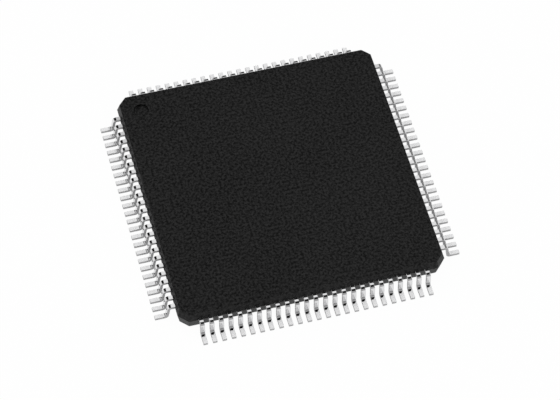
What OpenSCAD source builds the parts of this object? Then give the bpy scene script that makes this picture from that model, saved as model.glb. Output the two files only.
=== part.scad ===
// Quad flat pack chip: a moulded square package on four rows of gull-wing leads, with the
// lead frame, die and bond wires that the moulding holds.
// Origin: centre of the seating plane under the feet. +X along the front row, +Z up.
// Pin one is at the dimple, at the left end of the back edge; pins run anticlockwise from above.

/* [Mould body] */
// Distance from the body's sides to the middle of the nearest lead on the next side
corner_margin = 1.1; // [0.9:0.05:1.6]
// Gap between the seating plane and the underside of the body
standoff = 0.17; // [0.05:0.01:0.25]
// Height of the lower mould half, up to the parting plane
lower_half = 0.66; // [0.6:0.01:0.8]
// Height of the upper mould half, above the parting plane
upper_half = 0.475; // [0.4:0.005:0.8]
// Draft angle of the lower half's walls
lower_draft = 10; // [4:1:14]
// Draft angle of the upper half's walls
upper_draft = 15; // [4:1:18]
// Leg of the flat at each upright corner
corner_flat = 0.48; // [0.3:0.01:0.6]
// Radius of the upper rim
rim_radius = 0.04; // [0.03:0.01:0.15]
// Radius of the lower rim
base_radius = 0.05; // [0.02:0.01:0.1]

/* [Pin one dimple] */
// Diameter of the dimple that marks pin one
dimple_diameter = 0.8; // [0.5:0.05:1.4]
// Depth of the dimple
dimple_depth = 0.1; // [0.03:0.01:0.12]
// Distance from the body's edges to the dimple's centre
dimple_inset = 1.16; // [0.9:0.02:1.8]

/* [Leads] */
// Leads in each of the five banks along a side
leads_per_bank = 5; // [4:1:8]
// Pitch of the leads
lead_pitch = 0.5; // [0.4:0.05:0.8]
// Length of the flat shoulder outside the body
shoulder_length = 0.189; // [0.1:0.001:0.3]
// Width of a lead
lead_width = 0.23; // [0.17:0.01:0.27]
// Thickness of the lead frame's sheet
sheet = 0.15; // [0.1:0.01:0.16]
// Length of the flat sole from the heel bend to the tip
foot_length = 0.52; // [0.4:0.01:0.6]
// Lean of the leg out from upright
leg_lean = 8; // [4:1:16]
// Inner radius of both bends of a lead
bend_radius = 0.06; // [0.04:0.01:0.12]

/* [Lead frame inside] */
// Length of each lead that runs straight in from the body's edge
straight_in = 0.5; // [0.3:0.05:0.6]
// Width of a lead at its inner tip
tip_width = 0.12; // [0.08:0.01:0.13]
// Gap between the die pad and the inner tips of the leads, seen from above
tip_gap = 0.75; // [0.3:0.05:1]
// Distance from the middle of the last inner tip to the corner of the square that the tips make
tip_corner = 0.65; // [0.5:0.05:0.9]
// Width of the die pad that shows round the die
pad_margin = 1; // [0.3:0.1:1.2]
// Drop of the die pad below the leads
pad_downset = 0.26; // [0.2:0.01:0.32]
// Width of the four tie bars that hold the die pad
tie_width = 0.18; // [0.1:0.01:0.2]
// Cover of mould compound over the cut end of a tie bar
tie_cover = 0.2; // [0.1:0.05:0.5]

/* [Die and bonds] */
// Side of the square die
die_side = 5; // [4:0.1:5.6]
// Thickness of the die
die_thickness = 0.28; // [0.2:0.01:0.3]
// Thickness of the adhesive under the die
attach_thickness = 0.03; // [0.02:0.01:0.05]
// Distance that the adhesive spreads beyond the die
attach_fillet = 0.1; // [0.05:0.05:0.3]
// Distance from the die's corner to the first bond along its edge
bond_corner = 0.34; // [0.2:0.01:0.6]
// Distance from the die's edge to the bonds
bond_inset = 0.12; // [0.08:0.01:0.3]
// Thickness of a bond wire
wire = 0.03; // [0.02:0.005:0.04]
// Height of a wire's loop above the die
loop_height = 0.15; // [0.1:0.01:0.2]
// Distance from a lead's inner tip to its bond
stitch_inset = 0.15; // [0.1:0.01:0.4]

/* [Hidden] */
$fn = 64;
BANKS = 5;
SIDES = ["left", "front", "right", "back"];
RIM_STEPS = 5;
function bank_name(piece, side, bank) = str(piece, "_", SIDES[side], "_", bank + 1);

// Rows of leads, and the sizes across the square package
leads_per_side = BANKS * leads_per_bank;
lead_row = (leads_per_side - 1) * lead_pitch;
body_side = lead_row + 2 * corner_margin;
across_flats = sqrt(2) * (body_side - corner_flat);
pad_side = die_side + 2 * pad_margin;
tip_reach = pad_side / 2 + tip_gap;
tip_pitch = 2 * (tip_reach - tip_corner) / (leads_per_side - 1);
bond_pitch = (die_side - 2 * bond_corner) / (leads_per_side - 1);

// Heights above the seating plane
parting = standoff + lower_half;
body_top = parting + upper_half;
frame_under = parting - sheet / 2;
frame_top = parting + sheet / 2;
pad_under = frame_under - pad_downset;
pad_top = pad_under + sheet;
attach_top = pad_top + attach_thickness;
die_top = attach_top + die_thickness;

// Bends and leg of a lead
bend_middle = bend_radius + sheet / 2;
bend_turn = 90 - leg_lean;
bend_drop = bend_middle * (1 - cos(bend_turn));
leg_run = (frame_under - 2 * bend_drop) / cos(leg_lean);

// Distance from the package's centre to the end of a lead's shoulder
shoulder = body_side / 2 + shoulder_length;

function from_middle(index, pitch) = (index - (leads_per_side - 1) / 2) * pitch;
function side_turn(side) = 90 * (side - 1);

// Points of an arc of a given radius, between two angles
function arc(centre, radius, from, to, steps) = [
    for (step = [0:steps])
        let (angle = from + (to - from) * step / steps)
        centre + radius * [cos(angle), sin(angle)]
];

// Right half of the body's section, from the underside up, for a given distance across
function half_section(across) =
    let (
        low_inset = lower_half * tan(lower_draft),
        high_inset = upper_half * tan(upper_draft),
        low_back = base_radius * tan((90 - lower_draft) / 2),
        high_back = rim_radius * tan((90 - upper_draft) / 2),
        low = [across / 2 - low_inset - low_back, standoff + base_radius],
        high = [across / 2 - high_inset - high_back, body_top - rim_radius]
    )
    concat(
        arc(low, base_radius, -90, -lower_draft, RIM_STEPS),
        [[across / 2, parting]],
        arc(high, rim_radius, upper_draft, 90, RIM_STEPS)
    );

// Bar with the body's section, long enough to pass through the whole body
module section_bar(across) {
    right = half_section(across);
    left = [for (i = [len(right) - 1:-1:0]) [-right[i].x, right[i].y]];
    rotate([90, 0, 0])
        linear_extrude(height = 2 * body_side, center = true)
            polygon(concat(right, left));
}

module moulded_block() {
    intersection() {
        section_bar(body_side);
        rotate(90) section_bar(body_side);
        rotate(45) section_bar(across_flats);
        rotate(-45) section_bar(across_flats);
    }
}

module dimple() {
    place = body_side / 2 - dimple_inset;
    translate([-place, place, body_top - dimple_depth])
        cylinder(h = 2 * dimple_depth, d = dimple_diameter);
}

module mould_body() {
    color([0.13, 0.13, 0.13])
        difference() {
            difference() {
                moulded_block();
                dimple();
                pad_sheet();
                attach_film();
                die_block();
                for (side = [0:3])
                    rotate(side_turn(side))
                        for (index = [0:leads_per_side - 1]) lead_plate(index);
            }
            for (side = [0:3])
                rotate(side_turn(side))
                    for (index = [0:leads_per_side - 1]) bond_wire(index);
        }
}

// Flat part of a front lead: its shoulder, and inside the body a straight root and a fanned tip
module lead_plate(index) {
    root_x = from_middle(index, lead_pitch);
    tip_x = from_middle(index, tip_pitch);
    turn_y = straight_in - body_side / 2;
    translate([0, 0, frame_under])
        linear_extrude(height = sheet)
            polygon([
                [root_x - lead_width / 2, -shoulder],
                [root_x + lead_width / 2, -shoulder],
                [root_x + lead_width / 2, turn_y],
                [tip_x + tip_width / 2, -tip_reach],
                [tip_x - tip_width / 2, -tip_reach],
                [root_x - lead_width / 2, turn_y]
            ]);
}

// Bend of a lead, swept up from the X axis about its own centre
module lead_bend() {
    rotate_extrude(angle = bend_turn)
        translate([bend_radius, -lead_width / 2])
            square([sheet, lead_width]);
}

// Straight stretch of a lead, along Y from the X axis, in line with the end of a bend
module lead_straight(run) {
    translate([bend_radius, 0, -lead_width / 2])
        cube([sheet, run, lead_width]);
}

// Formed part of a front lead: knee bend, leg, heel bend and foot, each set from the one before it
module gull_wing() {
    rotate([90, 0, -90])
        translate([shoulder, parting - bend_middle, 0])
            rotate(leg_lean) {
                lead_bend();
                translate([0, -leg_run, 0]) lead_straight(leg_run);
                translate([2 * bend_radius + sheet, -leg_run, 0])
                    rotate(180) {
                        lead_bend();
                        rotate(bend_turn) lead_straight(foot_length);
                    }
            }
}

module lead_bank(side, bank) {
    color([0.86, 0.87, 0.88])
        rotate(side_turn(side))
            for (index = [bank * leads_per_bank:(bank + 1) * leads_per_bank - 1])
                union() {
                    lead_plate(index);
                    translate([from_middle(index, lead_pitch), 0, 0]) gull_wing();
                }
}

// Die pad with its four tie bars, cut from the same sheet as the leads
module pad_sheet() {
    translate([-pad_side / 2, -pad_side / 2, pad_under])
        cube([pad_side, pad_side, sheet]);
    for (corner = [0:3])
        rotate(45 + 90 * corner) tie_bar();
}

// Tie bar along +X: level with the pad, up over the downset, then level with the leads
module tie_bar() {
    start = pad_side / sqrt(2) - tie_width;
    step_from = pad_side / sqrt(2) + tie_width;
    step_to = step_from + pad_downset;
    end = across_flats / 2 - tie_cover;
    rotate([90, 0, 0])
        linear_extrude(height = tie_width, center = true)
            polygon([
                [start, pad_under],
                [step_from, pad_under],
                [step_to, frame_under],
                [end, frame_under],
                [end, frame_top],
                [step_to, frame_top],
                [step_from, pad_top],
                [start, pad_top]
            ]);
}

module die_pad() {
    color([0.80, 0.52, 0.32]) union() pad_sheet();
}

module attach_film() {
    film = die_side + 2 * attach_fillet;
    translate([-film / 2, -film / 2, pad_top])
        cube([film, film, attach_thickness]);
}

module die_attach() {
    color([0.75, 0.75, 0.72]) attach_film();
}

module die_block() {
    translate([-die_side / 2, -die_side / 2, attach_top])
        cube([die_side, die_side, die_thickness]);
}

module die() {
    color([0.35, 0.38, 0.45]) die_block();
}

// Bond wire of a front lead: up from the die, over, and down to the lead's inner tip
module bond_wire(index) {
    pad = [from_middle(index, bond_pitch), bond_inset - die_side / 2];
    stitch = [from_middle(index, tip_pitch), -tip_reach - stitch_inset];
    run = norm(stitch - pad);
    heading = atan2(stitch.y - pad.y, stitch.x - pad.x);
    translate([pad.x, pad.y, 0])
        rotate([0, 0, heading])
            rotate([90, 0, 0])
                linear_extrude(height = wire, center = true)
                    polygon(wire_section(run));
}

// Wire loop: a square ball neck on the die, a level crown and a long slope to a flat stitch
function wire_section(run) =
    let (
        crown = die_top + loop_height,
        crown_end = run / 4,
        stitch_end = run + wire,
        stitch_start = run - wire
    )
    [
        [-wire, die_top],
        [wire, die_top],
        [wire, crown - wire],
        [crown_end, crown - wire],
        [stitch_start, frame_top],
        [stitch_end, frame_top],
        [stitch_end, frame_top + wire / 2],
        [stitch_start + wire, frame_top + wire],
        [crown_end, crown],
        [0, crown],
        [-wire, crown - wire]
    ];

module wire_bank(side, bank) {
    color([0.93, 0.76, 0.33])
        rotate(side_turn(side))
            for (index = [bank * leads_per_bank:(bank + 1) * leads_per_bank - 1])
                bond_wire(index);
}

mould_body();
die_pad();
die_attach();
die();
for (side = [0:3])
    for (bank = [0:BANKS - 1]) {
        lead_bank(side, bank);
        wire_bank(side, bank);
    }
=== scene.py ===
"""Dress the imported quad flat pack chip: its moulded body, tinned leads and inner pieces."""

import logging
import math
from collections.abc import Callable, Iterable
from dataclasses import dataclass, field
from enum import Enum
from typing import Any, ClassVar

import bmesh
import bpy
from mathutils import Matrix, Vector


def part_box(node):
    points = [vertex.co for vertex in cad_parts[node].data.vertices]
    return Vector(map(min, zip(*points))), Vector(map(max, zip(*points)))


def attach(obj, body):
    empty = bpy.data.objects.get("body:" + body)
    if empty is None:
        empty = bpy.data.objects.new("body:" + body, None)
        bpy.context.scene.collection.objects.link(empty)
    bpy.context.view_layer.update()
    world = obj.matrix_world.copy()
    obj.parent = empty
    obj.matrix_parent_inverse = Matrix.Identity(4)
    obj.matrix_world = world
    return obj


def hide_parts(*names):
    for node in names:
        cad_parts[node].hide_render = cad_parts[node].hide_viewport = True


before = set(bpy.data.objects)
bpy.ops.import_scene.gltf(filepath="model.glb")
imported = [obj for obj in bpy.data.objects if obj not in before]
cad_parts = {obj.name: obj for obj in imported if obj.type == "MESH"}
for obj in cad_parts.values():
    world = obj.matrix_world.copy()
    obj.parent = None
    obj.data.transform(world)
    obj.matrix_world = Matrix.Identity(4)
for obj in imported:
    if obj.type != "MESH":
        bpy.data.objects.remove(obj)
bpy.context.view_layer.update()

LOG = logging.getLogger("quad_flat_pack")
MM = 0.001  # a millimetre in metres
CLOSE = 1e-4  # millimetres between places that count as one
MERGED = 1e-7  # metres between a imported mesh's corners that count as one
FACING = 0.99  # least cosine between a face's normal and the way it looks
BODY = "root"


class Side(Enum):
    """A side of the package, with its turn from the front in degrees."""

    LEFT = -90
    FRONT = 0
    RIGHT = 90
    BACK = 180

    @property
    def word(self) -> str:
        """Name of the side as the nodes spell it."""
        return self.name.lower()


class Axis(Enum):
    """A direction that a face can look in."""

    UP = (0.0, 0.0, 1.0)
    DOWN = (0.0, 0.0, -1.0)
    OUT = (0.0, -1.0, 0.0)
    IN = (0.0, 1.0, 0.0)

    @property
    def vector(self) -> Vector:
        """The direction as a vector."""
        return Vector(self.value)

    def faced_by(self, face: bmesh.types.BMFace) -> bool:
        """Whether a face looks this way."""
        return face.normal.dot(self.vector) > FACING


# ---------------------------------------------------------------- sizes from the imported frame


@dataclass(frozen=True)
class Sizes:
    """Sizes of the package in millimetres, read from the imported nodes."""

    TIP_WIDTH: ClassVar[float] = 0.12

    body_side: float
    standoff: float
    top: float
    toe: float
    tip_reach: float
    pitch: float
    tip_pitch: float
    lead_width: float
    sheet: float
    parting: float
    per_side: int
    banks: int

    @classmethod
    def from_frame(cls) -> "Sizes":
        """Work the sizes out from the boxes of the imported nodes.

        Returns:
            The sizes of the package that was packed.
        """
        banks = sum(1 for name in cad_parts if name.startswith("leads_front_"))
        middle = (banks + 1) // 2
        body_low, body_high = (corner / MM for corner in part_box("mould_body"))
        first_low, first_high = (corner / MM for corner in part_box("leads_front_1"))
        middle_low, middle_high = (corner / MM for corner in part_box(f"leads_front_{middle}"))
        pad_low, _ = (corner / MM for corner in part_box("die_pad"))
        film_low, _ = (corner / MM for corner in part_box("die_attach"))
        per_bank = cls.solids_in("leads_front_1")
        per_side = banks * per_bank
        half_row, half_bank = (per_side - 1) / 2, (per_bank - 1) / 2
        pitch = (-first_low.x - middle_high.x) / (half_row - half_bank)
        sheet = film_low.z - pad_low.z
        return cls(
            body_side=body_high.x - body_low.x,
            standoff=body_low.z,
            top=body_high.z,
            toe=-middle_low.y,
            tip_reach=-middle_high.y,
            pitch=pitch,
            tip_pitch=(cls.TIP_WIDTH / 2 - first_high.x) / (half_row - (per_bank - 1)),
            lead_width=2 * (-first_low.x - half_row * pitch),
            sheet=sheet,
            parting=middle_high.z - sheet / 2,
            per_side=per_side,
            banks=banks,
        )

    @staticmethod
    def solids_in(node: str) -> int:
        """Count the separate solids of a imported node.

        Args:
            node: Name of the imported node.

        Returns:
            How many islands its mesh has once its doubles are merged.
        """
        mesh = bmesh.new()
        mesh.from_mesh(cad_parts[node].data)
        bmesh.ops.remove_doubles(mesh, verts=mesh.verts[:], dist=MERGED)
        seen: set[int] = set()
        islands = 0
        for start in mesh.verts:
            if start.index in seen:
                continue
            islands += 1
            stack = [start]
            while stack:
                vert = stack.pop()
                if vert.index not in seen:
                    seen.add(vert.index)
                    stack.extend(edge.other_vert(vert) for edge in vert.link_edges)
        mesh.free()
        return islands


# ---------------------------------------------------------------- shader building


class Value:
    """A shader socket that takes part in sums written as Python expressions."""

    def __init__(self, graph: "Graph", socket: bpy.types.NodeSocket) -> None:
        """Keep the socket and the graph that it belongs to."""
        self.graph = graph
        self.socket = socket

    def _math(self, operation: str, first: Any, second: Any) -> "Value":
        """Add one Math node.

        Args:
            operation: Name of the node's operation.
            first: Value, socket or number for the first input.
            second: Value, socket or number for the second input.

        Returns:
            The node's result.
        """
        return self.graph.node("ShaderNodeMath", {"operation": operation}, {0: first, 1: second})

    def __add__(self, other: Any) -> "Value":
        """Sum of this value and another."""
        return self._math("ADD", self, other)

    def __sub__(self, other: Any) -> "Value":
        """This value less another."""
        return self._math("SUBTRACT", self, other)

    def __mul__(self, other: Any) -> "Value":
        """Product of this value and another."""
        return self._math("MULTIPLY", self, other)

    def __rsub__(self, other: Any) -> "Value":
        """Another value less this one."""
        return self._math("SUBTRACT", other, self)

    def __gt__(self, other: Any) -> "Value":
        """1 where this value is above another, else 0."""
        return self._math("GREATER_THAN", self, other)

    def __abs__(self) -> "Value":
        """This value without its sign."""
        return self._math("ABSOLUTE", self, 0.0)

    def __or__(self, other: Any) -> "Value":
        """The larger of this value and another."""
        return self._math("MAXIMUM", self, other)

    __radd__ = __add__
    __rmul__ = __mul__


class Graph:
    """The node tree of one material or world."""

    def __init__(self, owner: bpy.types.Material | bpy.types.World) -> None:
        """Start an empty tree on the owner."""
        owner.use_nodes = True
        self.tree = owner.node_tree
        self.tree.nodes.clear()

    def node(
        self, kind: str, settings: dict[str, Any] | None = None,
        inputs: dict[str | int, Any] | None = None, output: str | int = 0,
    ) -> Value:
        """Add a node, set it and connect it.

        Args:
            kind: Type name of the node.
            settings: Properties of the node, which are set first.
            inputs: Socket name or number to a number, colour, socket or Value.
            output: Which of the node's outputs to return.

        Returns:
            The chosen output, ready for sums.
        """
        made = self.tree.nodes.new(kind)
        for name, setting in (settings or {}).items():
            setattr(made, name, setting)
        for name, given in (inputs or {}).items():
            socket = made.inputs[name]
            if isinstance(given, Value):
                given = given.socket
            if isinstance(given, bpy.types.NodeSocket):
                self.tree.links.new(given, socket)
            else:
                socket.default_value = given
        outputs = made.outputs
        return Value(self, outputs[output] if len(outputs) else None)

    def object_place(self) -> Value:
        """Place on the piece, in metres."""
        return self.node("ShaderNodeTexCoord", output="Object")

    def within(self, value: Value, low: float, high: float, soft: float) -> Value:
        """Soft-edged window on a value.

        Args:
            value: The value to test.
            low: Lower edge of the window.
            high: Upper edge of the window.
            soft: Half the width of each edge.

        Returns:
            1 inside the window, 0 outside it.
        """
        ramp = {"interpolation_type": "SMOOTHSTEP", "clamp": True}
        rise, fall = (
            self.node(
                "ShaderNodeMapRange",
                ramp,
                {"Value": value, "From Min": edge - soft, "From Max": edge + soft},
            )
            for edge in (low, high)
        )
        return rise * (1 - fall)

    def parts(self, vector: Value) -> tuple[Value, Value, Value]:
        """Split a vector into its parts along X, Y and Z."""
        first = self.node("ShaderNodeSeparateXYZ", inputs={0: vector})
        rest = first.socket.node.outputs
        return first, Value(self, rest["Y"]), Value(self, rest["Z"])

    def noise(self, grain: float, detail: float = 2.0, roughness: float = 0.5) -> Value:
        """Soft random pattern.

        Args:
            grain: Size of its blotches in millimetres.
            detail: How many finer layers it has.
            roughness: How strong the finer layers are.

        Returns:
            A value from 0 to 1, mostly near 0.5.
        """
        return self.node(
            "ShaderNodeTexNoise",
            {"noise_dimensions": "3D"},
            {
                "Vector": self.object_place(),
                "Scale": 1 / (grain * MM),
                "Detail": detail,
                "Roughness": roughness,
            },
        )

    def blend(self, share: Value, first: Any, second: Any) -> Value:
        """Mix two colours.

        Args:
            share: 0 for the first colour, 1 for the second.
            first: The first colour, or the Value that gives it.
            second: The second colour, or the Value that gives it.

        Returns:
            The mixed colour.
        """
        first, second = (
            colour if isinstance(colour, Value) else (*colour, 1.0) for colour in (first, second)
        )
        # A Mix node's colour sockets have names that repeat, so they are given by number.
        sockets = {"Factor": share, 6: first, 7: second}
        return self.node("ShaderNodeMix", {"data_type": "RGBA"}, sockets, output=2)

    def bump(self, height: Value, depth: float) -> Value:
        """Surface relief.

        Args:
            height: Value from 0 to 1.
            depth: Height of the relief in millimetres.

        Returns:
            The bumped normal.
        """
        return self.node(
            "ShaderNodeBump", inputs={"Strength": 1.0, "Distance": depth * MM, "Height": height}
        )

    def surface(self, inputs: dict[str | int, Any]) -> None:
        """Finish a material with one Principled shader.

        Args:
            inputs: Its sockets' values and links.
        """
        shader = self.node("ShaderNodeBsdfPrincipled", inputs=inputs)
        self.output("ShaderNodeOutputMaterial", shader)

    def output(self, kind: str, shader: Value) -> None:
        """Connect the last shader.

        Args:
            kind: Type name of the output node.
            shader: The shader to show.
        """
        self.node(kind, inputs={"Surface": shader})


# ---------------------------------------------------------------- finishes


@dataclass(frozen=True)
class MouldCompound:
    """Matte charcoal moulding with its filler's fine grain, polished on the dimple's wall, which is
    painted black as painted shade in the recess.
    """

    dimple_place: tuple[float, float, float]
    dimple_radius: float
    dark: tuple[float, float, float] = (0.0, 0.0, 0.0)
    pale: tuple[float, float, float] = (0.0225, 0.0225, 0.0225)
    grain: float = 0.13
    speck_spread: float = 0.1
    speck_share: float = 0.8
    drift_size: float = 25.0
    rough_drift: float = 0.12
    rough_grain: float = 0.1
    relief: float = 0.0016
    roughness: float = 0.4
    sheen_level: float = 0.12
    wall_depth: float = 0.05
    wall_outside: float = 0.01
    wall_under_top: float = 0.005
    wall_roughness: float = 0.15

    def _polished_shaded_wall(self, graph: Graph) -> Value:
        """Where the pin has polished the dimple's wall, and where its colour is painted black as
        painted shade.

        Args:
            graph: Graph of the material.

        Returns:
            1 on the wall, 0 elsewhere.
        """
        across, along, height = graph.parts(graph.object_place())
        right, back, top = (part * MM for part in self.dimple_place)
        off_across, off_along = across - right, along - back
        reach = off_across * off_across + off_along * off_along
        inner = (self.dimple_radius - self.wall_depth) * MM
        outer = (self.dimple_radius + self.wall_outside) * MM
        ring = (reach > inner * inner) * (1 - (reach > outer * outer))
        return ring * (1 - (height > top - self.wall_under_top * MM))

    def material(self) -> bpy.types.Material:
        """Make the material.

        Returns:
            The finished material.
        """
        made = bpy.data.materials.new("mould_compound")
        graph = Graph(made)
        fine = graph.noise(self.grain, detail=3.0, roughness=0.65)
        broad = graph.noise(self.grain * self.drift_size, detail=2.0)
        spread = self.speck_spread
        specks = graph.node(
            "ShaderNodeMapRange",
            {"clamp": True},
            {"Value": fine, "From Min": 0.5 - spread, "From Max": 0.5 + spread},
        )
        # The wall mask makes the dimple's wall polished and paints it pure black: painted shade in
        # the recess.
        wall = self._polished_shaded_wall(graph)
        plain = 1 - wall
        shade = specks * self.speck_share + broad * (1 - self.speck_share)
        rough = self.roughness + (broad - 0.5) * self.rough_drift + (fine - 0.5) * self.rough_grain
        graph.surface(
            {
                "Base Color": graph.blend(shade * plain, self.dark, self.pale),
                "Roughness": rough * plain + wall * self.wall_roughness,
                "Specular IOR Level": self.sheen_level,
                "Normal": graph.bump(fine, self.relief),
            }
        )
        return made


@dataclass(frozen=True)
class TinPlating:
    """Tin on the leads: matte on the feet, burnished at the bends, and dull with painted grey shade
    on the cut flanks and foot ends.
    """

    sizes: Sizes
    burnish_to: float
    matte_colour: tuple[float, float, float] = (0.93, 0.93, 0.935)
    # Painted shade: the grey laid on the flanks and foot ends.
    burnished_colour: tuple[float, float, float] = (0.72, 0.72, 0.725)
    flank_shade_colour: tuple[float, float, float] = (0.42, 0.42, 0.425)
    grain: float = 0.05
    relief: float = 0.0003
    burnished: float = 0.03
    matte: float = 0.42
    matte_metal: float = 0.15
    shaded_edge_skin: float = 0.008
    foot_skin: float = 0.005
    drift_size: float = 6.0
    drift_share: float = 0.15
    rough_drift: float = 0.06

    def _shaded_edge_share(self, graph: Graph) -> Value:
        """Where the tin is painted grey as painted shade: the leads' two flanks, and the ends of
        their feet.

        Args:
            graph: Graph of the material.

        Returns:
            1 on the flanks and foot ends, 0 elsewhere.
        """
        across, along, _ = graph.parts(graph.object_place())
        on_side = abs(across) > abs(along)
        place = along * on_side + across * (1 - on_side)
        off_middle = graph.node(
            "ShaderNodeMath", {"operation": "PINGPONG"}, {0: place, 1: self.sizes.pitch / 2 * MM}
        )
        flank = off_middle > (self.sizes.lead_width / 2 - self.shaded_edge_skin) * MM
        end = (abs(across) | abs(along)) > (self.sizes.toe - self.shaded_edge_skin) * MM
        return flank | end

    def _matte_share(self, graph: Graph) -> Value:
        """Where the flat tops of the feet are.

        Args:
            graph: Graph of the material.

        Returns:
            1 on the flat tops, 0 elsewhere.
        """
        across, along, height = graph.parts(graph.object_place())
        skin = self.foot_skin * MM
        foot = self.sizes.sheet * MM
        out = (abs(across) | abs(along)) > self.burnish_to * MM
        return graph.within(height, foot - skin, foot + skin, skin / 2) * out

    def material(self) -> bpy.types.Material:
        """Make the material.

        Returns:
            The finished material.
        """
        made = bpy.data.materials.new("tin_plating")
        graph = Graph(made)
        fine = graph.noise(self.grain, detail=2.0)
        broad = graph.noise(self.grain * self.drift_size, detail=1.0)
        # Mask of the flanks and foot ends, made dull and painted grey as painted shade.
        cut = self._shaded_edge_share(graph)
        matte = self._matte_share(graph) * (1 - cut)
        dull = matte | cut
        shade = matte * (1 - self.drift_share) + broad * self.drift_share
        plated = graph.blend(shade, self.burnished_colour, self.matte_colour)
        drift = (broad - 0.5) * self.rough_drift
        graph.surface(
            {
                "Base Color": graph.blend(cut, plated, self.flank_shade_colour),
                "Metallic": 1 - dull * (1 - self.matte_metal),
                "Roughness": self.burnished + dull * (self.matte - self.burnished) + drift,
                "Normal": graph.bump(fine, self.relief),
            }
        )
        return made


@dataclass(frozen=True)
class InnerMetal:
    """Bare metal inside the moulding: the copper die pad or the gold wires."""

    name: str
    bright: tuple[float, float, float]
    dull: tuple[float, float, float]
    grain: float
    roughness: float
    rough_drift: float = 0.2
    relief: float = 0.02

    def material(self) -> bpy.types.Material:
        """Make the material.

        Returns:
            The finished material.
        """
        made = bpy.data.materials.new(self.name)
        graph = Graph(made)
        streaks = graph.noise(self.grain, detail=2.0)
        graph.surface(
            {
                "Base Color": graph.blend(streaks, self.bright, self.dull),
                "Metallic": 1.0,
                "Roughness": self.roughness + (streaks - 0.5) * self.rough_drift,
                "Normal": graph.bump(streaks, self.grain * self.relief),
            }
        )
        return made


@dataclass(frozen=True)
class InnerSolid:
    """Non-metal inside the moulding: the die or the adhesive under it."""

    name: str
    dark: tuple[float, float, float]
    pale: tuple[float, float, float]
    grain: float
    roughness: float
    rough_drift: float = 0.2
    relief: float = 0.03

    def material(self) -> bpy.types.Material:
        """Make the material.

        Returns:
            The finished material.
        """
        made = bpy.data.materials.new(self.name)
        graph = Graph(made)
        flakes = graph.noise(self.grain, detail=3.0)
        graph.surface(
            {
                "Base Color": graph.blend(flakes, self.dark, self.pale),
                "Roughness": self.roughness + (flakes - 0.5) * self.rough_drift,
                "Normal": graph.bump(flakes, self.grain * self.relief),
            }
        )
        return made


# ---------------------------------------------------------------- modelling moves


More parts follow.
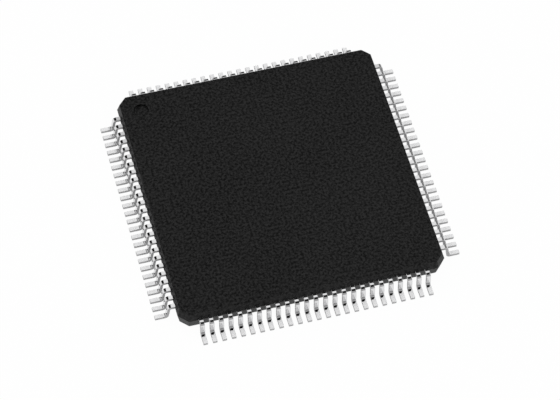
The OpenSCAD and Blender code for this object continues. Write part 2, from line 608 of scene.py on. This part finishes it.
class Bench:
    """Modelling moves that the pieces share; shapes are made in millimetres and scaled last."""

    @staticmethod
    def clear_selection() -> None:
        """Leave edit mode and select nothing."""
        if bpy.context.object and bpy.context.object.mode != "OBJECT":
            bpy.ops.object.mode_set(mode="OBJECT")
        bpy.ops.object.select_all(action="DESELECT")

    @classmethod
    def make_active(cls, piece: bpy.types.Object) -> None:
        """Select one piece alone and make it active.

        Args:
            piece: The piece to work on.
        """
        cls.clear_selection()
        piece.select_set(True)
        bpy.context.view_layer.objects.active = piece

    @classmethod
    def start_block(
        cls, name: str, low: Iterable[float], high: Iterable[float]
    ) -> bpy.types.Object:
        """Start a piece as a block between two corners, and open it in edit mode.

        Args:
            name: Name of the piece.
            low: Lowest corner.
            high: Highest corner.

        Returns:
            The new piece, in edit mode, with its faces deselected.
        """
        low, high = Vector(low), Vector(high)
        cls.clear_selection()
        bpy.ops.mesh.primitive_cube_add(size=1, location=(low + high) / 2)
        piece = bpy.context.object
        piece.name = name
        piece.scale = high - low
        bpy.ops.object.transform_apply(location=True, rotation=True, scale=True)
        cls.open(piece)
        return piece

    @classmethod
    def open(cls, piece: bpy.types.Object) -> None:
        """Open a piece in edit mode with nothing selected."""
        cls.make_active(piece)
        bpy.ops.object.mode_set(mode="EDIT")
        bpy.ops.mesh.select_mode(type="FACE")
        bpy.ops.mesh.select_all(action="DESELECT")

    @staticmethod
    def pick_faces(piece: bpy.types.Object, wanted: Callable[[bmesh.types.BMFace], bool]) -> None:
        """Select the faces that pass a test, and no others.

        Args:
            piece: The piece, in edit mode.
            wanted: The test.
        """
        bpy.ops.mesh.select_mode(type="FACE")
        mesh = bmesh.from_edit_mesh(piece.data)
        mesh.normal_update()
        for face in mesh.faces:
            face.select_set(False)
        for face in mesh.faces:
            if wanted(face):
                face.select_set(True)
        bmesh.update_edit_mesh(piece.data)

    @staticmethod
    def pick_edges(piece: bpy.types.Object, wanted: Callable[[bmesh.types.BMEdge], bool]) -> None:
        """Select the edges that pass a test, and no others.

        Args:
            piece: The piece, in edit mode.
            wanted: The test.
        """
        bpy.ops.mesh.select_mode(type="EDGE")
        mesh = bmesh.from_edit_mesh(piece.data)
        for edge in mesh.edges:
            edge.select_set(False)
        for edge in mesh.edges:
            if wanted(edge):
                edge.select_set(True)
        bmesh.update_edit_mesh(piece.data)

    @classmethod
    def pick_edges_at(cls, piece: bpy.types.Object, level: float) -> None:
        """Select the edges that lie at one height.

        Args:
            piece: The piece, in edit mode.
            level: The height.
        """
        cls.pick_edges(
            piece, lambda edge: all(abs(vert.co.z - level) < CLOSE for vert in edge.verts)
        )

    @staticmethod
    def bevel(width: float, steps: int) -> None:
        """Round the selected edges.

        Args:
            width: Distance from each edge to the start of its rounding.
            steps: Number of strips in the rounding.
        """
        bpy.ops.mesh.bevel(
            offset_type="OFFSET", offset=width, segments=steps, profile=0.5, affect="EDGES"
        )

    @classmethod
    def cut_away(cls, piece: bpy.types.Object, cutter: bpy.types.Object) -> None:
        """Cut one piece out of another and delete the cutter.

        Args:
            piece: The piece that is cut.
            cutter: The shape that is taken away.
        """
        cls.make_active(piece)
        cut = piece.modifiers.new("cut", "BOOLEAN")
        cut.operation = "DIFFERENCE"
        cut.solver = "EXACT"
        cut.object = cutter
        bpy.ops.object.modifier_apply(modifier=cut.name)
        bpy.data.objects.remove(cutter)

    @classmethod
    def finish(cls, piece: bpy.types.Object, smooth_under: float) -> None:
        """Settle a piece's shading and scale it from millimetres to metres.

        Args:
            piece: The finished shape.
            smooth_under: Largest angle in degrees that is shaded as a curve.
        """
        cls.make_active(piece)
        bpy.ops.object.shade_smooth_by_angle(angle=math.radians(smooth_under))
        even = piece.modifiers.new("even_normals", "WEIGHTED_NORMAL")
        even.keep_sharp = True
        even.weight = 100
        bpy.ops.object.modifier_apply(modifier=even.name)
        piece.scale = (MM, MM, MM)
        bpy.ops.object.transform_apply(location=True, rotation=True, scale=True)

    @staticmethod
    def dress(piece: bpy.types.Object, material: bpy.types.Material) -> None:
        """Give a piece one material."""
        piece.data.materials.clear()
        piece.data.materials.append(material)


# ---------------------------------------------------------------- the moulded body


@dataclass
class MouldBody:
    """The moulding: two drafted halves, flats at its corners, round rims and the pin-one dimple."""

    sizes: Sizes
    upper_draft: float = 15.0
    lower_draft: float = 10.0
    corner_flat: float = 0.48
    corner_radius: float = 0.03
    rim_radius: float = 0.04
    base_radius: float = 0.05
    flash: float = 0.012
    dimple_radius: float = 0.4
    dimple_depth: float = 0.1
    dimple_inset: float = 1.16
    dimple_floor_radius: float = 0.04
    dimple_lip_radius: float = 0.015
    dimple_sides: int = 64
    rim_steps: int = 6
    base_steps: int = 4
    corner_steps: int = 2
    floor_steps: int = 4
    lip_steps: int = 3
    lip_slack: float = 0.02
    smooth_under: float = 40.0

    def build(self) -> bpy.types.Object:
        """Model the moulding.

        Returns:
            The finished piece, in metres.
        """
        sizes = self.sizes
        half, parting = sizes.body_side / 2, sizes.parting
        piece = Bench.start_block(
            "moulded_package",
            (-half, -half, parting - self.flash / 2),
            (half, half, parting + self.flash / 2),
        )
        Bench.pick_edges(piece, lambda edge: self._upright(edge, self.flash / 2))
        Bench.bevel(self.corner_flat, 1)
        self._draw_half(piece, Axis.UP, sizes.top - parting, self.upper_draft)
        self._draw_half(piece, Axis.DOWN, parting - sizes.standoff, self.lower_draft)
        Bench.pick_edges(piece, lambda edge: self._upright(edge, self.flash * 2))
        Bench.bevel(self.corner_radius, self.corner_steps)
        self._round_rim(piece, sizes.top, self.rim_radius, self.upper_draft, self.rim_steps)
        self._round_rim(piece, sizes.standoff, self.base_radius, self.lower_draft, self.base_steps)
        Bench.cut_away(piece, self._dimple_cutter())
        self._round_dimple_lip(piece)
        Bench.finish(piece, self.smooth_under)
        return piece

    @staticmethod
    def _upright(edge: bmesh.types.BMEdge, least: float) -> bool:
        """Whether an edge climbs by more than a least height."""
        first, second = edge.verts
        return abs(first.co.z - second.co.z) > least

    def _draw_half(self, piece: bpy.types.Object, way: Axis, height: float, draft: float) -> None:
        """Draw one mould half out from the parting plane.

        Args:
            piece: The moulding, in edit mode.
            way: Up or down.
            height: Height of the half.
            draft: Draft angle of its walls in degrees.
        """
        Bench.pick_faces(piece, way.faced_by)
        bpy.ops.mesh.inset(
            thickness=height * math.tan(math.radians(draft)),
            depth=height - self.flash / 2,
            use_even_offset=True,
        )

    @staticmethod
    def _round_rim(
        piece: bpy.types.Object, level: float, radius: float, draft: float, steps: int
    ) -> None:
        """Round the edges round the top or the underside.

        Args:
            piece: The moulding, in edit mode.
            level: Height of the face whose rim is rounded.
            radius: Radius of the rim.
            draft: Draft angle of the walls in degrees.
            steps: Number of strips in the rounding.
        """
        Bench.pick_edges_at(piece, level)
        Bench.bevel(radius * math.tan(math.radians(90 - draft) / 2), steps)

    def dimple_centre(self) -> Vector:
        """Centre of the dimple on the top face."""
        place = self.sizes.body_side / 2 - self.dimple_inset
        return Vector((-place, place, self.sizes.top))

    def _dimple_cutter(self) -> bpy.types.Object:
        """Model the pin that leaves the dimple.

        Returns:
            A round pin with a rounded end.
        """
        centre = self.dimple_centre()
        Bench.clear_selection()
        bpy.ops.mesh.primitive_cylinder_add(
            vertices=self.dimple_sides,
            radius=self.dimple_radius,
            depth=2 * self.dimple_depth,
            location=centre,
        )
        pin = bpy.context.object
        bpy.ops.object.transform_apply(location=True, rotation=True, scale=True)
        Bench.open(pin)
        Bench.pick_edges_at(pin, centre.z - self.dimple_depth)
        Bench.bevel(self.dimple_floor_radius, self.floor_steps)
        return pin

    def _round_dimple_lip(self, piece: bpy.types.Object) -> None:
        """Soften the edge where the dimple meets the top face.

        Args:
            piece: The moulding.
        """
        centre = self.dimple_centre()
        slack = self.dimple_radius * self.lip_slack
        Bench.open(piece)

        def on_lip(edge: bmesh.types.BMEdge) -> bool:
            """Whether both ends of an edge lie on the dimple's circle, level with the top."""
            return all(
                abs(vert.co.z - centre.z) < CLOSE
                and abs((vert.co - centre).length - self.dimple_radius) < slack
                for vert in edge.verts
            )

        Bench.pick_edges(piece, on_lip)
        Bench.bevel(self.dimple_lip_radius, self.lip_steps)


# ---------------------------------------------------------------- the leads


@dataclass
class LeadRow:
    """Gull-wing leads of one bank after another, formed from one sheet."""

    sizes: Sizes
    shoulder_length: float = 0.189
    leg_lean: float = 8.0
    bend_radius: float = 0.06
    straight_in: float = 0.5
    bend_steps: int = 6
    edge_radius: float = 0.014
    smooth_under: float = 50.0
    burnish_past_heel: float = 0.1
    pattern: bpy.types.Object | None = field(default=None, init=False)

    @property
    def turn(self) -> float:
        """Angle of each bend, in radians."""
        return math.radians(90 - self.leg_lean)

    @property
    def middle_radius(self) -> float:
        """Radius of a bend at the middle of the sheet."""
        return self.bend_radius + self.sizes.sheet / 2

    @property
    def leg_drop(self) -> float:
        """Height of the leg's straight stretch."""
        bends = 2 * self.middle_radius * (1 - math.cos(self.turn))
        return self.sizes.parting - self.sizes.sheet / 2 - bends

    @property
    def leg_reach(self) -> float:
        """Distance out that the leg's straight stretch covers."""
        return self.leg_drop * math.tan(math.radians(self.leg_lean))

    @property
    def knee(self) -> float:
        """Distance from the centre to where a shoulder ends."""
        return self.sizes.body_side / 2 + self.shoulder_length

    @property
    def heel(self) -> float:
        """Distance from the centre to where a foot starts."""
        return self.knee + 2 * self.middle_radius * math.sin(self.turn) + self.leg_reach

    @property
    def root(self) -> float:
        """Distance from the centre to where a lead starts to fan in."""
        return self.sizes.body_side / 2 - self.straight_in

    def burnished_to(self) -> float:
        """Distance from the centre up to which the bending die rubs the tin."""
        return self.heel + self.burnish_past_heel

    def model_pattern(self) -> bpy.types.Object:
        """Model the formed part of one lead at the middle of the front side.

        Returns:
            A lead from its root inside the body to the toe of its foot, in millimetres.
        """
        sizes = self.sizes
        low, high = sizes.parting - sizes.sheet / 2, sizes.parting + sizes.sheet / 2
        half = sizes.lead_width / 2
        lead = Bench.start_block("lead_pattern", (-half, -self.knee, low), (half, -self.root, high))
        Bench.pick_faces(lead, Axis.OUT.faced_by)
        self._bend(Vector((0, -self.knee, sizes.parting - self.middle_radius)), self.turn)
        self._run_on((0, -self.leg_reach, -self.leg_drop))
        self._bend(Vector((0, -self.heel, sizes.sheet / 2 + self.middle_radius)), -self.turn)
        self._run_on((0, self.heel - sizes.toe, 0))
        Bench.clear_selection()
        return lead

    def _bend(self, centre: Vector, turn: float) -> None:
        """Sweep the selected end of the lead round a bend.

        Args:
            centre: Centre of the bend.
            turn: Angle of the bend in radians, positive where the lead bends down.
        """
        bpy.ops.mesh.spin(steps=self.bend_steps, angle=turn, center=centre, axis=(-1, 0, 0))

    @staticmethod
    def _run_on(step: tuple[float, float, float]) -> None:
        """Draw the selected end of the lead on by a straight step."""
        bpy.ops.mesh.extrude_region_move(TRANSFORM_OT_translate={"value": step})

    def _fan_in(self, lead: bpy.types.Object, from_middle: float) -> None:
        """Draw a lead's root in to its inner tip.

        Args:
            lead: A copy of the pattern, moved to its place on the front side.
            from_middle: Pitches between the middle of the side and the lead.
        """
        sizes = self.sizes
        tip = Vector((from_middle * sizes.tip_pitch, -sizes.tip_reach, sizes.parting))
        Bench.open(lead)
        Bench.pick_faces(
            lead,
            lambda face: Axis.IN.faced_by(face)
            and abs(face.calc_center_median().y + self.root) < CLOSE,
        )
        self._run_on((tip.x - from_middle * sizes.pitch, tip.y + self.root, 0))
        narrowing = sizes.TIP_WIDTH / sizes.lead_width
        bpy.ops.transform.resize(value=(narrowing, 1, 1), center_override=tip)
        Bench.clear_selection()

    def bank(self, side: Side, number: int) -> bpy.types.Object:
        """Form one bank of leads.

        Args:
            side: Side of the package.
            number: Number of the bank along the side, from 1.

        Returns:
            The leads of the bank as one piece, in metres.
        """
        if self.pattern is None:
            self.pattern = self.model_pattern()
        per_bank = self.sizes.per_side // self.sizes.banks
        leads = []
        for index in range((number - 1) * per_bank, number * per_bank):
            lead = self.pattern.copy()
            lead.data = self.pattern.data.copy()
            bpy.context.scene.collection.objects.link(lead)
            from_middle = index - (self.sizes.per_side - 1) / 2
            lead.data.transform(Matrix.Translation((from_middle * self.sizes.pitch, 0, 0)))
            self._fan_in(lead, from_middle)
            lead.data.transform(Matrix.Rotation(math.radians(side.value), 4, "Z"))
            leads.append(lead)
        Bench.make_active(leads[0])
        for lead in leads:
            lead.select_set(True)
        bpy.ops.object.join()
        piece = bpy.context.object
        piece.name = f"tinned_leads_{side.word}_{number}"
        piece.data.name = piece.name
        soft = piece.modifiers.new("soft_edges", "BEVEL")
        soft.width = self.edge_radius
        soft.segments = 1
        soft.limit_method = "ANGLE"
        soft.angle_limit = math.radians(self.smooth_under)
        bpy.ops.object.modifier_apply(modifier=soft.name)
        Bench.finish(piece, self.smooth_under)
        return piece

    def clear_pattern(self) -> None:
        """Delete the pattern once every bank is formed."""
        if self.pattern is not None:
            bpy.data.objects.remove(self.pattern)
            self.pattern = None


# ---------------------------------------------------------------- the whole part


@dataclass
class Package:
    """The whole chip: new outer pieces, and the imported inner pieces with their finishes."""

    sizes: Sizes

    def build_body(self) -> None:
        """Model and dress the moulding."""
        body = MouldBody(self.sizes)
        piece = body.build()
        finish = MouldCompound(tuple(body.dimple_centre()), body.dimple_radius)
        Bench.dress(piece, finish.material())
        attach(piece, BODY)
        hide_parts("mould_body")
        LOG.info("%s: %d faces", piece.name, len(piece.data.polygons))

    def build_leads(self) -> None:
        """Form and dress every bank of leads."""
        row = LeadRow(self.sizes)
        tin = TinPlating(self.sizes, row.burnished_to()).material()
        for side in Side:
            for number in range(1, self.sizes.banks + 1):
                piece = row.bank(side, number)
                Bench.dress(piece, tin)
                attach(piece, BODY)
                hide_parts(f"leads_{side.word}_{number}")
                LOG.info("%s: %d faces", piece.name, len(piece.data.polygons))
        row.clear_pattern()

    def dress_inside(self) -> None:
        """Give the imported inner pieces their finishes."""
        copper = InnerMetal("rolled_copper", (0.62, 0.33, 0.2), (0.5, 0.26, 0.16), 0.2, 0.35)
        gold = InnerMetal("drawn_gold", (0.95, 0.7, 0.28), (0.85, 0.6, 0.22), 0.05, 0.25)
        silicon = InnerSolid("polished_silicon", (0.1, 0.11, 0.15), (0.14, 0.15, 0.2), 0.4, 0.15)
        epoxy = InnerSolid("silver_epoxy", (0.42, 0.42, 0.4), (0.6, 0.6, 0.58), 0.05, 0.5)
        wire_finish = gold.material()
        finishes = {
            "die_pad": copper.material(),
            "die_attach": epoxy.material(),
            "die": silicon.material(),
        }
        for name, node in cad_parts.items():
            finish = wire_finish if name.startswith("wires_") else finishes.get(name)
            if finish is not None:
                Bench.dress(node, finish)
                LOG.info("%s: dressed", name)


# ---------------------------------------------------------------- studio and camera


@dataclass(frozen=True)
class Flag:
    """A dark card outside the view, as the span of directions that it covers."""

    across: tuple[float, float]
    along: tuple[float, float]
    darkness: float

    def cover(self, graph: Graph, across: Value, along: Value, soft: float) -> Value:
        """How much of the light from a direction the card takes away.

        Args:
            graph: Graph of the world.
            across: The direction's part along X.
            along: The direction's part along Y.
            soft: Softness of the card's edges.

        Returns:
            The share that is taken away, from 0 to 1.
        """
        width = graph.within(across, *self.across, soft)
        depth = graph.within(along, *self.along, soft)
        return width * depth * self.darkness


@dataclass
class Studio:
    """White floor, white surroundings with dark flags, soft light from above and the camera."""

    floor_side: float = 0.6
    floor_white: float = 0.8
    floor_in_view: float = 0.97
    floor_in_metal: float = 0.9
    world_level: float = 0.88
    flag_softness: float = 0.04
    flags: tuple[Flag, ...] = (
        Flag((0.02, 0.32), (-0.62, 0.38), 0.99),
        Flag((-0.75, 0.06), (0.36, 0.7), 0.99),
        Flag((0.02, 0.32), (0.575, 1.1), 0.99),
        Flag((0.36, 1.1), (0.38, 0.68), 0.78),
        Flag((-1.1, 1.1), (-1.1, -0.6), 0.55),
    )
    azimuth: float = -18.0
    elevation: float = 56.45
    roll: float = 3.22
    distance: float = 0.13857
    lens: float = 168.78
    shift_right: float = 0.00013
    shift_up: float = -0.00045
    sensor: float = 36.0
    clip_range: float = 100.0
    lamp_side: float = 0.25
    lamp_energy: float = 0.12
    lamp_place: tuple[float, float, float] = (-0.08, 0.12, 0.22)

    def build(self) -> None:
        """Make the floor, the world, the lamp and the camera."""
        self._floor()
        self._world()
        self._lamp()
        self._camera()

    def _rays(self, graph: Graph) -> tuple[Value, Value]:
        """Tell apart the rays that end in the picture.

        Args:
            graph: Graph that needs the values.

        Returns:
            1 for a ray from the camera, and 1 for a ray from a mirror or clear glass.
        """
        camera = graph.node("ShaderNodeLightPath", output="Is Camera Ray")
        kinds = camera.socket.node.outputs
        mirror = Value(graph, kinds["Is Glossy Ray"]) + Value(graph, kinds["Is Transmission Ray"])
        return camera, mirror

    def _floor(self) -> None:
        """Lay a white floor that keeps a soft shadow."""
        Bench.clear_selection()
        bpy.ops.mesh.primitive_plane_add(size=self.floor_side, location=(0, 0, 0))
        floor = bpy.context.object
        floor.name = "studio_floor"
        made = bpy.data.materials.new("white_floor")
        graph = Graph(made)
        camera, mirror = self._rays(graph)
        paint = (*(self.floor_white,) * 3, 1.0)
        matte = graph.node("ShaderNodeBsdfDiffuse", inputs={"Color": paint})
        glow = graph.node("ShaderNodeEmission", inputs={"Color": (1, 1, 1, 1), "Strength": 1.0})
        share = camera * self.floor_in_view + mirror * self.floor_in_metal
        mixed = graph.node("ShaderNodeMixShader", inputs={0: share, 1: matte, 2: glow})
        graph.output("ShaderNodeOutputMaterial", mixed)
        Bench.dress(floor, made)

    def _world(self) -> None:
        """Surround the object with white, with dark flags that only glossy surfaces show."""
        world = bpy.data.worlds.new("studio_world")
        bpy.context.scene.world = world
        graph = Graph(world)
        white = (1, 1, 1, 1)
        camera, mirror = self._rays(graph)
        across, along, _ = graph.parts(graph.node("ShaderNodeTexCoord", output="Generated"))
        light = None
        for flag in self.flags:
            left = 1 - flag.cover(graph, across, along, self.flag_softness)
            light = left if light is None else light * left
        plain, flagged, seen = (
            graph.node("ShaderNodeBackground", inputs={"Color": white, "Strength": level})
            for level in (self.world_level, light, 1.0)
        )
        inside = graph.node("ShaderNodeMixShader", inputs={0: mirror, 1: plain, 2: flagged})
        mixed = graph.node("ShaderNodeMixShader", inputs={0: camera, 1: inside, 2: seen})
        graph.output("ShaderNodeOutputWorld", mixed)

    def _lamp(self) -> None:
        """Hang one soft lamp above and behind the object."""
        lamp = bpy.data.lights.new("soft_box", "AREA")
        lamp.shape = "RECTANGLE"
        lamp.size = self.lamp_side
        lamp.size_y = self.lamp_side
        lamp.energy = self.lamp_energy
        holder = bpy.data.objects.new("soft_box", lamp)
        bpy.context.scene.collection.objects.link(holder)
        place = Vector(self.lamp_place)
        holder.location = place
        holder.rotation_mode = "QUATERNION"
        holder.rotation_quaternion = (-place).to_track_quat("-Z", "Y")
        holder.visible_glossy = False

    def _camera(self) -> None:
        """Place the camera above the front left of the object."""
        turn, rise, roll = (
            math.radians(angle) for angle in (self.azimuth, self.elevation, self.roll)
        )
        level_part = math.cos(rise)
        back = Vector(
            (math.sin(turn) * level_part, -math.cos(turn) * level_part, math.sin(rise))
        )
        level = Vector((math.cos(turn), math.sin(turn), 0))
        upright = back.cross(level)
        right = level * math.cos(roll) + upright * math.sin(roll)
        upward = upright * math.cos(roll) - level * math.sin(roll)
        data = bpy.data.cameras.new("camera")
        data.sensor_width = self.sensor
        data.lens = self.lens
        data.clip_start = self.distance / self.clip_range
        data.clip_end = self.distance * self.clip_range
        camera = bpy.data.objects.new("camera", data)
        bpy.context.scene.collection.objects.link(camera)
        place = back * self.distance + right * self.shift_right + upward * self.shift_up
        pose = Matrix((right, upward, back)).transposed().to_4x4()
        pose.translation = place
        camera.matrix_world = pose
        bpy.context.scene.camera = camera


def main() -> None:
    """Build the chip and its studio."""
    logging.basicConfig(level=logging.INFO, format="%(name)s %(message)s")
    settings = bpy.context.scene.view_settings
    settings.view_transform = "Standard"
    sizes = Sizes.from_frame()
    LOG.info("%s", sizes)
    package = Package(sizes)
    package.build_body()
    package.build_leads()
    package.dress_inside()
    Studio().build()


if __name__ == "__main__":
    main()
